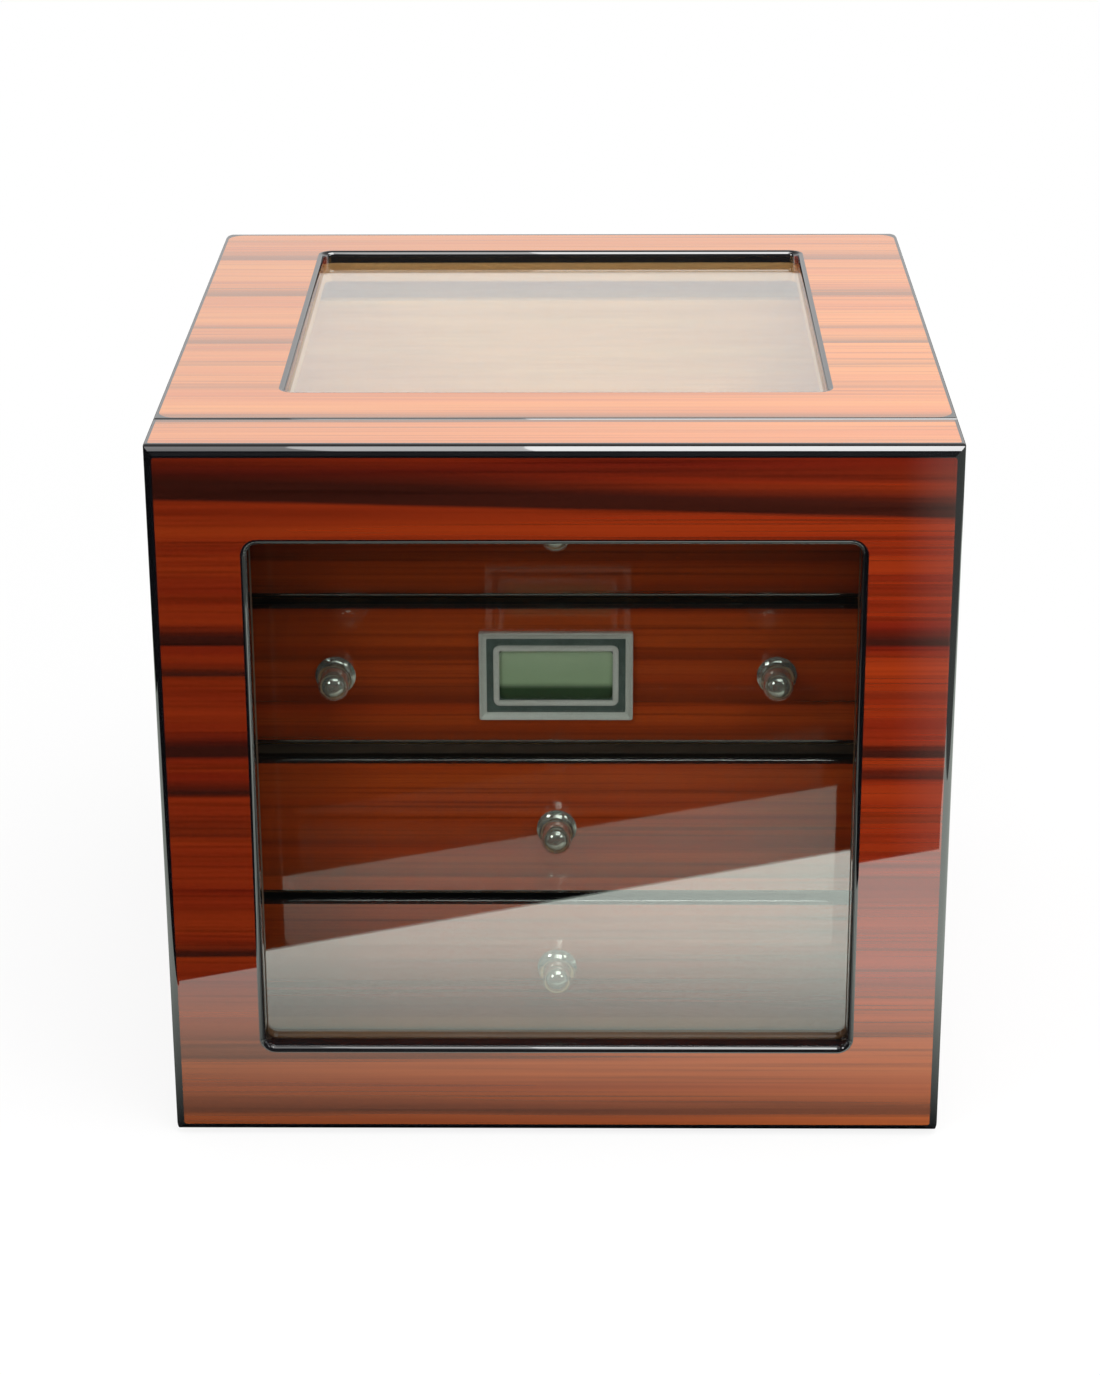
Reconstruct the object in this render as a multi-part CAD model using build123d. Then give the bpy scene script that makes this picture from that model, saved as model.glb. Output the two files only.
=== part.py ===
from build123d import *
import os

# Desktop cigar humidor: a lacquered box whose front slice is cut off as a hinged door.
# X runs to the right, Y to the back, Z up. The origin is the middle of the footprint, under the felt.
# All lengths are millimetres.

# Box outside
overall_width = 300.0
overall_depth = 314.0
body_height = 283.0
door_depth = 34.0
seam_gap = 0.3
felt_thickness = 1.2
felt_inset = 6.0

# Board thicknesses
side_thickness = 12.0
base_thickness = 15.5
top_thickness = 12.0
back_thickness = 12.0
door_panel_thickness = 16.0

# Rounded edges
front_round = 4.0
seam_round = 1.2
back_post_round = 8.0
back_edge_round = 2.5
top_side_round = 1.0
bottom_side_round = 2.9

# Window in the door, and window in the top
door_window_stile = 36.6
door_window_bottom_rail = 37.3
door_window_top_rail = 38.2
top_window_side = 46.0
top_window_front = 35.8
top_window_back = 33.2
window_corner = 4.0
window_round = 2.3
glass_thickness = 3.0
top_glass_lip = 5.0
door_glass_lip = 7.5
glass_rabbet = 5.0
glass_play = 0.3

# Cedar lining, shelf and runners
liner_thickness = 4.0
shelf_thickness = 4.0
shelf_setback = 3.0
runner_width = 8.0
runner_setback = 1.0

# Drawers, numbered from the top
drawer_front_thickness = 12.0
drawer_front_round = 1.9
drawer_recess = 14.0
drawer_gap = 2.2
drawer_clearance = 1.0
drawer_back_clearance = 9.0
tray_rise = 4.0
tray_drop = 8.6
tray_wall = 6.0
tray_bottom_thickness = 3.0
slide_clearance = 0.3
vent_slots = 5
vent_slot_width = 6.0
vent_slot_length = 150.0
vent_slot_pitch = 40.0

# Knobs
knob_base_radius = 7.8
knob_base_rim = 0.8
knob_waist_radius = 3.6
knob_waist_at = 7.4
knob_head_radius = 5.85
knob_head_at = 12.2
knob_reach = 16.4
knob_stud_radius = 2.0
knob_stud_length = 9.0
knob_drop = 0.2
knob_pair_spacing = 171.0

# Hygrometer in the second drawer
bezel_width = 59.6
bezel_height = 36.3
bezel_border = 1.6
bezel_proud = 1.8
bezel_corner = 2.0
face_proud = 1.0
ring_width = 48.6
ring_height = 25.1
ring_border = 2.4
ring_proud = 1.0
ring_round = 0.6
ring_corner = 3.0
meter_body_width = 54.2
meter_body_height = 31.0
meter_body_depth = 8.0
meter_wall = 1.2
meter_play = 0.2
display_thickness = 1.5
board_thickness = 1.2
cell_radius = 10.0
cell_thickness = 3.2
cell_play = 0.3
cover_radius = 12.0
cover_thickness = 1.4

# Humidifier in the lowest drawer
humidifier_length = 110.0
humidifier_width = 56.0
humidifier_height = 20.0
humidifier_wall = 1.5
humidifier_lid = 2.0
humidifier_corner = 4.0
humidifier_gap = 6.0
foam_play = 0.3
grille_slots = 9
grille_slot_width = 3.0
grille_slot_length = 38.0
grille_slot_pitch = 10.0

# Hinges at the left of the seam
hinge_height = 32.0
hinge_from_end = 30.0
leaf_width = 9.0
leaf_thickness = 1.2
knuckle_radius = 1.8
knuckle_gap = 0.2
knuckle_stand_off = 0.1
pin_radius = 0.8
pin_clearance = 0.05
pin_head_radius = 1.3
pin_head_height = 0.6
screw_radius = 1.0
screw_head_radius = 1.8
screw_head_depth = 0.8
screw_length = 8.0
screw_slot_width = 0.4
screw_slot_depth = 0.3
screw_inset = 6.0

# Magnet catch at the right of the seam, and the door's seal
magnet_radius = 3.5
magnet_length = 3.0
magnet_inset = 5.5
magnet_from_end = 70.0
seal_width = 1.5
seal_depth = 1.0
seal_proud = 0.2
seal_edge = 0.3

# Levels and planes that the pieces share
half_width = overall_width / 2
front_y = -overall_depth / 2
back_y = overall_depth / 2
door_back_y = front_y + door_depth - seam_gap
case_y = front_y + door_depth
body_bottom = felt_thickness
body_top = felt_thickness + body_height
base_top = body_bottom + base_thickness
top_underside = body_top - top_thickness
floor_z = base_top + liner_thickness
ceiling_z = top_underside - liner_thickness
inner_half = half_width - side_thickness
lined_half = inner_half - liner_thickness
back_panel_y = back_y - back_thickness
back_liner_y = back_panel_y - liner_thickness
drawer_face_y = case_y + drawer_recess
tray_front_y = drawer_face_y + drawer_front_thickness
tray_back_y = back_liner_y - drawer_back_clearance
drawer_half = lined_half - drawer_clearance

# Four equal drawer fronts share the height between the floor and the ceiling with the shelf
front_space = ceiling_z - floor_z - shelf_thickness - 4 * drawer_clearance - 2 * drawer_gap
drawer_front_height = front_space / 4
tray_height = drawer_front_height - tray_rise - tray_drop

# Underside of each drawer front, from the top drawer down; the shelf lies between the second and third
drawer_4_z = floor_z + drawer_clearance
drawer_3_z = drawer_4_z + drawer_front_height + drawer_gap
shelf_z = drawer_3_z + drawer_front_height + drawer_clearance
drawer_2_z = shelf_z + shelf_thickness + drawer_clearance
drawer_1_z = drawer_2_z + drawer_front_height + drawer_gap
drawer_levels = {1: drawer_1_z, 2: drawer_2_z, 3: drawer_3_z, 4: drawer_4_z}

# Cutting tools are longer than what they cut
reach = 2 * overall_depth
overcut = 1.0
nodes = {}


def block(x, y, z):
    """A box between two values on each axis."""
    middle = Pos((x[0] + x[1]) / 2, (y[0] + y[1]) / 2, (z[0] + z[1]) / 2)
    return middle * Box(x[1] - x[0], y[1] - y[0], z[1] - z[0])


def mirrored(solid):
    """The same piece on the other side of the middle plane."""
    return solid.mirror(Plane.YZ)


def off_edge(axis, corner, inward, radius):
    """What a rounded edge takes away: a square bar along the edge, less the rod that stays."""
    spans = [(-reach, reach)] * 3
    middle = [0, 0, 0]
    across = [number for number in range(3) if number != axis]
    for number, place, direction in zip(across, corner, inward):
        spans[number] = (place - radius, place + radius)
        middle[number] = place + direction * radius
    turn = (Rot(0, 90, 0), Rot(90, 0, 0), Rot(0, 0, 0))[axis]
    return block(*spans) - Pos(*middle) * turn * Cylinder(radius, 2 * reach)


def rounded_block(y, front_edge, back_edge, front_post, back_post):
    """The box outside between two depths, with its own radius on each kind of edge."""
    solid = block((-half_width, half_width), y, (body_bottom, body_top))
    for x, inward in ((-half_width, 1), (half_width, -1)):
        solid -= off_edge(2, (x, y[0]), (inward, 1), front_post)
        solid -= off_edge(2, (x, y[1]), (inward, -1), back_post)
        solid -= off_edge(1, (x, body_bottom), (inward, 1), bottom_side_round)
        solid -= off_edge(1, (x, body_top), (inward, -1), top_side_round)
    for z, inward in ((body_bottom, 1), (body_top, -1)):
        solid -= off_edge(0, (y[0], z), (1, inward), front_edge)
        solid -= off_edge(0, (y[1], z), (-1, inward), back_edge)
    return solid


def rounded_bar(plane, first, second, corner):
    """A long bar across a plane, its outline a rectangle with rounded corners."""
    outline = fillet(Rectangle(first[1] - first[0], second[1] - second[0]).vertices(), corner)
    outline = Pos((first[0] + first[1]) / 2, (second[0] + second[1]) / 2) * outline
    return extrude(plane * outline, reach, both=True)


def upright_opening(x, z, y, corner):
    """A rounded rectangular hole through a standing panel."""
    return rounded_bar(Plane.XZ, x, z, corner) & block((-reach, reach), y, (-reach, reach))


def level_opening(x, y, z, corner):
    """A rounded rectangular hole through a lying panel."""
    return rounded_bar(Plane.XY, x, y, corner) & block((-reach, reach), (-reach, reach), z)


def grown(span, amount):
    return (span[0] - amount, span[1] + amount)


def lathe(points, at, direction):
    """A closed outline of (radius, height) points turned about its height axis."""
    outline = Polyline(*[(radius, height) for radius, height in points], close=True)
    turned = revolve(make_face(Plane.XZ * outline), Axis.Z)
    return Plane(origin=at, z_dir=direction) * turned


# Door
# The door is the front panel with a box rim behind it, so it is hollow behind its window.

door_shell = rounded_block((front_y, door_back_y), front_round, seam_round, front_round, seam_round)
panel_back_y = front_y + door_panel_thickness
window_x = (-half_width + door_window_stile, half_width - door_window_stile)
window_z = (body_bottom + door_window_bottom_rail, body_top - door_window_top_rail)
glass_y = front_y + door_glass_lip
bead_y = glass_y + glass_thickness


def door_panel():
    panel = door_shell & block((-reach, reach), (front_y, panel_back_y), (-reach, reach))
    panel -= upright_opening(window_x, window_z, grown((front_y, panel_back_y), overcut), window_corner)
    edge = panel.edges().filter_by_position(Axis.Y, front_y - 0.01, front_y + 0.01)
    edge = edge.filter_by_position(Axis.X, window_x[0] - 0.01, window_x[1] + 0.01)
    edge = edge.filter_by_position(Axis.Z, window_z[0] - 0.01, window_z[1] + 0.01)
    panel = fillet(edge, window_round)
    rabbet = upright_opening(grown(window_x, glass_rabbet), grown(window_z, glass_rabbet),
                             (glass_y, panel_back_y + overcut), window_corner)
    return panel - rabbet


def door_rim(x, z):
    return door_shell & block(x, (panel_back_y, door_back_y), z)


nodes["door_front_panel"] = door_panel()
door_rim_left = door_rim((-half_width, -inner_half), (body_bottom, body_top))
door_rim_right = door_rim((inner_half, half_width), (body_bottom, body_top))
nodes["door_top_rim"] = door_rim((-inner_half, inner_half), (top_underside, body_top))
nodes["door_bottom_rim"] = door_rim((-inner_half, inner_half), (body_bottom, base_top))

pane_x = grown(window_x, glass_rabbet - glass_play)
pane_z = grown(window_z, glass_rabbet - glass_play)
nodes["door_glass"] = upright_opening(pane_x, pane_z, (glass_y, bead_y), window_corner)
door_bead = upright_opening(grown(window_x, glass_rabbet), grown(window_z, glass_rabbet),
                            (bead_y, panel_back_y), window_corner)
nodes["door_glass_bead"] = door_bead - upright_opening(window_x, window_z,
                                                       grown((bead_y, panel_back_y), overcut), window_corner)


# Case
# Sides run the full height and depth; top, base and back stand between them.

case_shell = rounded_block((case_y, back_y), seam_round, back_edge_round, seam_round, back_post_round)
top_window_x = (-half_width + top_window_side, half_width - top_window_side)
top_window_y = (case_y + top_window_front, back_y - top_window_back)
top_glass_z = body_top - top_glass_lip
top_bead_z = top_glass_z - glass_thickness


def case_panel(x, y, z):
    return case_shell & block(x, y, z)


def top_frame():
    frame = case_panel((-inner_half, inner_half), (case_y, back_y), (top_underside, body_top))
    frame -= level_opening(top_window_x, top_window_y, grown((top_underside, body_top), overcut),
                           window_corner)
    edge = frame.edges().filter_by_position(Axis.Z, body_top - 0.01, body_top + 0.01)
    edge = edge.filter_by_position(Axis.X, top_window_x[0] - 0.01, top_window_x[1] + 0.01)
    edge = edge.filter_by_position(Axis.Y, top_window_y[0] - 0.01, top_window_y[1] + 0.01)
    frame = fillet(edge, window_round)
    rabbet = level_opening(grown(top_window_x, glass_rabbet), grown(top_window_y, glass_rabbet),
                           (top_underside - overcut, top_glass_z), window_corner)
    return frame - rabbet


case_depths = (case_y, back_y)
full_height = (body_bottom, body_top)
left_side = case_panel((-half_width, -inner_half), case_depths, full_height)
right_side = case_panel((inner_half, half_width), case_depths, full_height)
between_sides = (-inner_half, inner_half)
nodes["case_base"] = case_panel(between_sides, case_depths, (body_bottom, base_top))
nodes["case_back"] = case_panel(between_sides, (back_panel_y, back_y), (base_top, top_underside))
nodes["case_top_frame"] = top_frame()

top_pane_x = grown(top_window_x, glass_rabbet - glass_play)
top_pane_y = grown(top_window_y, glass_rabbet - glass_play)
nodes["top_glass"] = level_opening(top_pane_x, top_pane_y, (top_bead_z, top_glass_z), window_corner)
top_bead = level_opening(grown(top_window_x, glass_rabbet), grown(top_window_y, glass_rabbet),
                         (top_underside, top_bead_z), window_corner)
nodes["top_glass_bead"] = top_bead - level_opening(top_window_x, top_window_y,
                                                   grown((top_underside, top_bead_z), overcut), window_corner)

nodes["base_felt"] = block(grown((-half_width, half_width), -felt_inset), grown(case_depths, -felt_inset),
                           (0, body_bottom))


# Cedar lining
lining_depths = (case_y, back_panel_y)
nodes["base_liner"] = block(between_sides, lining_depths, (base_top, floor_z))
ceiling = block(between_sides, lining_depths, (ceiling_z, top_underside))
nodes["ceiling_liner"] = ceiling - level_opening(top_window_x, top_window_y,
                                                 grown((ceiling_z, top_underside), overcut), window_corner)
nodes["back_liner"] = block(between_sides, (back_liner_y, back_panel_y), (floor_z, ceiling_z))
nodes["left_liner"] = block((-inner_half, -lined_half), (case_y, back_liner_y), (floor_z, ceiling_z))
nodes["right_liner"] = mirrored(nodes["left_liner"])
nodes["middle_shelf"] = block((-lined_half, lined_half), (drawer_face_y + shelf_setback, back_liner_y),
                              (shelf_z, shelf_z + shelf_thickness))

runners = []
for level in drawer_levels.values():
    runner_top = level + tray_rise - slide_clearance
    runner = block((-lined_half, -lined_half + runner_width), (tray_front_y + runner_setback, back_liner_y),
                   (level - drawer_clearance, runner_top))
    runners += [runner, mirrored(runner)]
nodes["drawer_runners"] = Compound(children=runners)


# Drawers
# Each is a lacquered front with a cedar tray behind it: two sides, a back and a vented bottom.

def knob(x, z):
    """A turned knob: a flared foot, a waist and a domed head, with a stud that goes into the front."""
    profile = Polyline((0, -knob_stud_length), (knob_stud_radius, -knob_stud_length), (knob_stud_radius, 0),
                       (knob_base_radius, 0), (knob_base_radius, knob_base_rim))
    foot = ThreePointArc((knob_base_radius, knob_base_rim),
                         ((knob_base_radius + 2 * knob_waist_radius) / 3,
                          (2 * knob_base_rim + knob_waist_at) / 3),
                         (knob_waist_radius, knob_waist_at))
    neck = Line((knob_waist_radius, knob_waist_at), (knob_head_radius, knob_head_at))
    rise = knob_reach - knob_head_at
    ball = (knob_head_radius ** 2 + rise ** 2) / (2 * rise)
    halfway = knob_head_radius / 2
    dome = ThreePointArc((knob_head_radius, knob_head_at),
                         (halfway, knob_reach - ball + (ball ** 2 - halfway ** 2) ** 0.5), (0, knob_reach))
    axis = Line((0, knob_reach), (0, -knob_stud_length))
    outline = Plane.XZ * (profile + foot + neck + dome + axis)
    turned = revolve(make_face(outline), Axis.Z)
    return Plane(origin=(x, drawer_face_y, z), x_dir=(1, 0, 0), z_dir=(0, -1, 0)) * turned


def drawer_front(level, knobs):
    front = block((-drawer_half, drawer_half), (drawer_face_y, tray_front_y),
                  (level, level + drawer_front_height))
    face_edges = front.edges().filter_by_position(Axis.Y, drawer_face_y - 0.01, drawer_face_y + 0.01)
    front = fillet(face_edges, drawer_front_round)
    for one in knobs:
        front -= one
    return front


def tray_side(level):
    return block((-drawer_half, -drawer_half + tray_wall), (tray_front_y, tray_back_y),
                 (level + tray_rise, level + tray_rise + tray_height))


def tray_back(level):
    return block((-drawer_half + tray_wall, drawer_half - tray_wall), (tray_back_y - tray_wall, tray_back_y),
                 (level + tray_rise + tray_bottom_thickness, level + tray_rise + tray_height))


def tray_bottom(level):
    underside = level + tray_rise
    bottom = block((-drawer_half + tray_wall, drawer_half - tray_wall), (tray_front_y, tray_back_y),
                   (underside, underside + tray_bottom_thickness))
    middle_y = (tray_front_y + tray_back_y) / 2
    slot = SlotOverall(vent_slot_length, vent_slot_width, rotation=90)
    for number in range(vent_slots):
        x = (number - (vent_slots - 1) / 2) * vent_slot_pitch
        cut = extrude(Pos(x, middle_y, underside) * slot, tray_bottom_thickness)
        bottom -= cut
    return bottom


for number, level in drawer_levels.items():
    knob_z = level + drawer_front_height / 2 - knob_drop
    knob_places = [-knob_pair_spacing / 2, knob_pair_spacing / 2] if number == 2 else [0]
    knobs = [knob(x, knob_z) for x in knob_places]
    name = f"drawer_{number}"
    nodes[name + "_front"] = drawer_front(level, knobs)
    nodes[name + "_knob"] = knobs[0] if len(knobs) == 1 else Compound(children=knobs)
    nodes[name + "_sides"] = Compound(children=[tray_side(level), mirrored(tray_side(level))])
    nodes[name + "_back"] = tray_back(level)
    nodes[name + "_bottom"] = tray_bottom(level)


# Hygrometer
# Its body fills a hole in the second drawer's front; the face and bezel lie on the front.

meter_z = drawer_2_z + drawer_front_height / 2


def meter_plate(width, height, y, corner):
    return upright_opening((-width / 2, width / 2), (meter_z - height / 2, meter_z + height / 2),
                           (drawer_face_y + y[0], drawer_face_y + y[1]), corner)


def hygrometer():
    face_width = bezel_width - 2 * bezel_border
    face_height = bezel_height - 2 * bezel_border
    bezel = meter_plate(bezel_width, bezel_height, (-bezel_proud, 0), bezel_corner)
    bezel -= meter_plate(face_width, face_height, grown((-bezel_proud, 0), overcut),
                         bezel_corner - bezel_border / 2)
    glass_width = ring_width - 2 * ring_border
    glass_height = ring_height - 2 * ring_border
    face = meter_plate(face_width, face_height, (-face_proud, 0), bezel_corner - bezel_border / 2)
    face -= meter_plate(glass_width, glass_height, grown((-face_proud, 0), overcut),
                        ring_corner - ring_border / 2)
    ring = meter_plate(ring_width, ring_height, (-face_proud - ring_proud, -face_proud), ring_corner)
    crown = ring.edges().filter_by_position(Axis.Y, drawer_face_y - face_proud - ring_proud - 0.01,
                                            drawer_face_y - face_proud - ring_proud + 0.01)
    ring = fillet(crown, ring_round)
    ring -= meter_plate(glass_width, glass_height, grown((-face_proud - ring_proud, 0), overcut),
                        ring_corner - ring_border / 2)
    inside_width = meter_body_width - 2 * meter_wall
    inside_height = meter_body_height - 2 * meter_wall
    body = meter_plate(meter_body_width, meter_body_height, (0, meter_body_depth), meter_wall * 1.5)
    body -= meter_plate(inside_width, inside_height, (-overcut, meter_body_depth - meter_wall), meter_wall)
    display = meter_plate(inside_width - 2 * meter_play, inside_height - 2 * meter_play,
                          (0, display_thickness), meter_wall)
    board_y = display_thickness + board_thickness
    board = meter_plate(inside_width - 2 * meter_play, inside_height - 2 * meter_play,
                        (display_thickness, board_y), meter_wall)

    def disc(radius, start, length):
        return Plane(origin=(0, drawer_face_y + start, meter_z), z_dir=(0, 1, 0)) * Pos(0, 0, length / 2) \
            * Cylinder(radius, length)

    cell = disc(cell_radius, board_y + cell_play, cell_thickness)
    cover = disc(cover_radius, meter_body_depth - meter_wall, cover_thickness)
    body -= cover
    hole = meter_plate(meter_body_width, meter_body_height, grown((0, drawer_front_thickness), overcut),
                       meter_wall * 1.5)
    return {"bezel": bezel, "face": face, "window_ring": ring, "body": body, "display": display,
            "circuit_board": board, "button_cell": cell, "battery_cover": cover}, hole


meter_parts, meter_hole = hygrometer()
nodes["drawer_2_front"] -= meter_hole
for name, solid in meter_parts.items():
    nodes["hygrometer_" + name] = solid


# Humidifier
# A plastic tray of wet foam under a slotted lid, on the bottom of the lowest drawer against its back.

def humidifier():
    low = drawer_levels[4] + tray_rise + tray_bottom_thickness
    lid_z = low + humidifier_height - humidifier_lid
    far = tray_back_y - tray_wall - humidifier_gap
    x = (-humidifier_length / 2, humidifier_length / 2)
    y = (far - humidifier_width, far)
    tray = level_opening(x, y, (low, lid_z), humidifier_corner)
    tray -= level_opening(grown(x, -humidifier_wall), grown(y, -humidifier_wall),
                          (low + humidifier_wall, lid_z + overcut), humidifier_corner - humidifier_wall)
    foam = level_opening(grown(x, -humidifier_wall - foam_play), grown(y, -humidifier_wall - foam_play),
                         (low + humidifier_wall, lid_z - foam_play), humidifier_corner - humidifier_wall)
    lid = level_opening(x, y, (lid_z, lid_z + humidifier_lid), humidifier_corner)
    slot = SlotOverall(grille_slot_length, grille_slot_width, rotation=90)
    for number in range(grille_slots):
        slot_x = (number - (grille_slots - 1) / 2) * grille_slot_pitch
        lid -= extrude(Pos(slot_x, (y[0] + y[1]) / 2, lid_z) * slot, humidifier_lid)
    return tray, foam, lid


nodes["humidifier_tray"], nodes["humidifier_foam"], nodes["humidifier_lid"] = humidifier()


# Hinges
# Two butt hinges with their knuckles just outside the left side, so the door swings half a turn.

axis_x = -half_width - knuckle_radius - knuckle_stand_off
axis_y = case_y - seam_gap / 2
hinge_centres = (body_bottom + hinge_from_end + hinge_height / 2, body_top - hinge_from_end - hinge_height / 2)
knuckle_length = (hinge_height - 2 * knuckle_gap) / 3


def upright_rod(radius, z):
    return Pos(axis_x, axis_y, (z[0] + z[1]) / 2) * Cylinder(radius, z[1] - z[0])


def leaf(middle, y, own_spans, hole_radius):
    """A flat leaf let into one edge of the seam, with a tab and a knuckle at each of its own spans."""
    plate_x = (axis_x + knuckle_radius + knuckle_gap, axis_x + knuckle_radius + knuckle_gap + leaf_width)
    plate = block(plate_x, y, (middle - hinge_height / 2, middle + hinge_height / 2))
    for span in own_spans:
        z = (middle + span[0], middle + span[1])
        plate += block((axis_x, plate_x[1]), y, z) + upright_rod(knuckle_radius, z)
    return plate - upright_rod(hole_radius, (middle - hinge_height, middle + hinge_height))


def screw(z, y, direction, slotted):
    """A countersunk screw at the middle of a leaf, its head flush with the seam face."""
    shape = lathe([(0, 0), (screw_head_radius, 0), (screw_radius, -screw_head_depth),
                   (screw_radius, -screw_length), (0, -screw_length)], (0, 0, 0), (0, 0, 1))
    if slotted:
        slot_length = 2 * screw_head_radius + overcut
        shape -= Pos(0, 0, -screw_slot_depth / 2) * Box(slot_length, screw_slot_width, screw_slot_depth)
    x = axis_x + knuckle_radius + knuckle_gap + leaf_width / 2
    return Plane(origin=(x, y, z), x_dir=(1, 0, 0), z_dir=(0, direction, 0)) * shape


def pin(middle):
    rod = upright_rod(pin_radius, (middle - hinge_height / 2, middle + hinge_height / 2))
    head = upright_rod(pin_head_radius, (middle + hinge_height / 2,
                                         middle + hinge_height / 2 + pin_head_height))
    return rod + head


end_span = hinge_height / 2
mid_span = knuckle_length / 2
case_spans = ((-end_span, -end_span + knuckle_length), (end_span - knuckle_length, end_span))
door_spans = ((-mid_span, mid_span),)
case_leaves, door_leaves, pins, case_screws, door_screws = [], [], [], [], []
for middle in hinge_centres:
    case_leaf = leaf(middle, (case_y, case_y + leaf_thickness), case_spans, pin_radius)
    door_leaf = leaf(middle, (door_back_y - leaf_thickness, door_back_y), door_spans,
                     pin_radius + pin_clearance)
    left_side -= case_leaf
    door_rim_left -= door_leaf
    for z in (middle - end_span + screw_inset, middle + end_span - screw_inset):
        case_blank = screw(z, case_y, -1, False)
        door_blank = screw(z, door_back_y, 1, False)
        case_leaf -= case_blank
        left_side -= case_blank
        door_leaf -= door_blank
        door_rim_left -= door_blank
        case_screws.append(screw(z, case_y, -1, True))
        door_screws.append(screw(z, door_back_y, 1, True))
    case_leaves.append(case_leaf)
    door_leaves.append(door_leaf)
    pins.append(pin(middle))
nodes["case_hinge_leaves"] = Compound(children=case_leaves)
nodes["door_hinge_leaves"] = Compound(children=door_leaves)
nodes["hinge_pins"] = Compound(children=pins)
nodes["case_hinge_screws"] = Compound(children=case_screws)
nodes["door_hinge_screws"] = Compound(children=door_screws)


# Magnet catch and seal
def magnet(z, y):
    place = Pos(half_width - magnet_inset, (y[0] + y[1]) / 2, z)
    return place * Rot(90, 0, 0) * Cylinder(magnet_radius, magnet_length)


case_magnets, door_magnets = [], []
for z in (body_bottom + magnet_from_end, body_top - magnet_from_end):
    in_case = magnet(z, (case_y, case_y + magnet_length))
    in_door = magnet(z, (door_back_y - magnet_length, door_back_y))
    right_side -= in_case
    door_rim_right -= in_door
    case_magnets.append(in_case)
    door_magnets.append(in_door)
nodes["case_magnets"] = Compound(children=case_magnets)
nodes["door_magnets"] = Compound(children=door_magnets)

seal_x = grown((-inner_half, inner_half), seal_edge)
seal_z = grown((base_top, top_underside), seal_edge)
seal_y = (door_back_y - seal_depth, door_back_y + seal_proud)
seal = block(grown(seal_x, seal_width), seal_y, grown(seal_z, seal_width)) \
    - block(seal_x, grown(seal_y, overcut), seal_z)
door_rim_left -= seal
door_rim_right -= seal
nodes["door_top_rim"] -= seal
nodes["door_bottom_rim"] -= seal
nodes["door_seal"] = seal

nodes["case_left_side"] = left_side
nodes["case_right_side"] = right_side
nodes["door_side_rims"] = Compound(children=[door_rim_left, door_rim_right])

os.makedirs("parts", exist_ok=True)
for name, solid in nodes.items():
    export_step(solid, f"parts/{name}.step")
print(len(nodes), "nodes written")
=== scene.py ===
import math

import bmesh
import bpy
import numpy as np
from mathutils import Matrix, Vector


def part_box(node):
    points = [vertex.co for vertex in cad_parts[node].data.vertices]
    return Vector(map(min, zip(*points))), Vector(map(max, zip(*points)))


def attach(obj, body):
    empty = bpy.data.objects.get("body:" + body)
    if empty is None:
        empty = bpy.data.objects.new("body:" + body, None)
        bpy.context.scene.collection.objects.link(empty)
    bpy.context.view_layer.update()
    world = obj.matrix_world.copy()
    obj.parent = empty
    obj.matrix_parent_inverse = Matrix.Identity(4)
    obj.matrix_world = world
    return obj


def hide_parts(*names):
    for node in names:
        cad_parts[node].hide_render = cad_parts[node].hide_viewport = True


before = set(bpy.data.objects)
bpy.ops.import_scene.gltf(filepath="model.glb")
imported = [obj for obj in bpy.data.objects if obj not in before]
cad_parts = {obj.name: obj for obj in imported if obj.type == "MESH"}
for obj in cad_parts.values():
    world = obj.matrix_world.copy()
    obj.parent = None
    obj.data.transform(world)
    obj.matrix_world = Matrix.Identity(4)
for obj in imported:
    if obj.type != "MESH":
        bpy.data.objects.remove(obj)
print("frame loaded:", len(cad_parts), "nodes")


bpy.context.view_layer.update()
mm = 0.001


def hexColour(code):  # sRGB hex turned linear
    parts = np.array([int(code[i:i + 2], 16) for i in (1, 3, 5)]) / 255
    linear = np.where(parts <= 0.04045, parts / 12.92, ((parts + 0.055) / 1.055) ** 2.4)
    return (*[float(part) for part in linear], 1.0)


def addNode(tree, kind, inputs=None, **settings):
    # one node with its settings; an input is a number, a colour or another node's socket
    node = tree.nodes.new("ShaderNode" + kind)
    for name, value in settings.items():
        setattr(node, name, value)
    for name, value in (inputs or {}).items():
        if isinstance(value, bpy.types.NodeSocket):
            tree.links.new(value, node.inputs[name])
        else:
            node.inputs[name].default_value = value
    return node


def calc(tree, operation, *values):
    # one sum of the shader's arithmetic; returns its socket
    node = addNode(tree, "Math", dict(enumerate(values)), operation=operation)
    return node.outputs[0]


def blendColours(tree, amount, first, second):
    node = addNode(tree, "Mix", {0: amount, 6: first, 7: second}, data_type="RGBA")
    return node.outputs[2]


def rampOf(tree, amount, stops, smooth="LINEAR"):
    # stops are (place 0 to 1, grey or colour)
    node = addNode(tree, "ValToRGB", {0: amount})
    ramp = node.color_ramp
    ramp.interpolation = smooth
    while len(ramp.elements) < len(stops):
        ramp.elements.new(0.5)
    for element, (place, value) in zip(ramp.elements, stops):
        element.position = place
        element.color = value if isinstance(value, tuple) else (value, value, value, 1.0)
    return node.outputs[0]


def newMaterial(name):
    material = bpy.data.materials.new(name)
    material.use_nodes = True
    tree = material.node_tree
    tree.nodes.clear()
    return material, tree


def closeMaterial(tree, shader):
    addNode(tree, "OutputMaterial", {"Surface": shader})


def placeOf(tree):
    # the three Object coordinates, in metres, as separate sockets and as one vector
    coordinates = addNode(tree, "TexCoord")
    split = addNode(tree, "SeparateXYZ", {0: coordinates.outputs["Object"]})
    normal = addNode(tree, "SeparateXYZ", {0: coordinates.outputs["Normal"]})
    return coordinates.outputs["Object"], split.outputs, normal.outputs


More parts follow.
